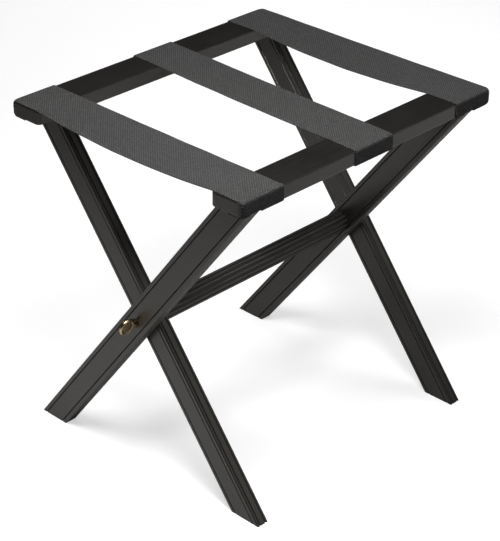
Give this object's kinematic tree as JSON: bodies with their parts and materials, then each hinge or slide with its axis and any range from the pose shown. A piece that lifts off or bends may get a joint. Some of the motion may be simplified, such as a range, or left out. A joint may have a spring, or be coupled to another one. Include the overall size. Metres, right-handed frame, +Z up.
{
  "type": "folding luggage rack",
  "caption": "Folding rack for a suitcase: crossed grooved legs, fluted stretcher on the pivot, flat rails and wide webbing straps.",
  "frame": {"origin": "on the floor under the middle of the rack", "axes": "+X along the rails and the stretcher, +Y across from rail b to rail a along the straps, +Z up"},
  "size_m": [0.5148, 0.4416, 0.5118],
  "materials": {
    "black_wood": "satin black lacquer over hardwood",
    "webbing": "matt charcoal woven webbing",
    "brass": "polished brass",
    "steel": "plain steel",
    "spacer": "matt black nylon"
  },
  "bodies": {
    "frame_b": {"rail_b": "black_wood", "leg_1": "black_wood", "leg_3": "black_wood", "strap_1": "webbing", "strap_2": "webbing", "strap_3": "webbing", "rail_screw_1": "steel", "rail_screw_3": "steel", "tack_b1_1": "steel", "tack_b1_2": "steel", "tack_b2_1": "steel", "tack_b2_2": "steel", "tack_b2_3": "steel", "tack_b3_1": "steel", "tack_b3_2": "steel", "spacer_washer_1": "spacer"},
    "frame_a": {"rail_a": "black_wood", "leg_2": "black_wood", "leg_4": "black_wood", "rail_screw_2": "steel", "rail_screw_4": "steel", "tack_a1_1": "steel", "tack_a1_2": "steel", "tack_a2_1": "steel", "tack_a2_2": "steel", "tack_a2_3": "steel", "tack_a3_1": "steel", "tack_a3_2": "steel", "spacer_washer_2": "spacer"},
    "stretcher_bar": {"stretcher": "black_wood", "thumb_screw_1": "brass", "thumb_screw_2": "brass", "flat_washer_1": "brass", "flat_washer_2": "brass"}
  },
  "joints": [
    {"name": "fold", "type": "hinge", "parent": "frame_b", "child": "frame_a", "pos_m": [0, 0, 0.2435], "axis": [1, 0, 0], "range_deg": [0, 62], "deforming": ["strap_1", "strap_2", "strap_3"]},
    {"name": "stretcher_turn", "type": "hinge", "parent": "frame_b", "child": "stretcher_bar", "pos_m": [0, 0, 0.2435], "axis": [1, 0, 0], "range_deg": [0, 31]}
  ],
  "couplings": [
    {"joint": "stretcher_turn", "follows": "fold", "ratio": 0.5}
  ]
}
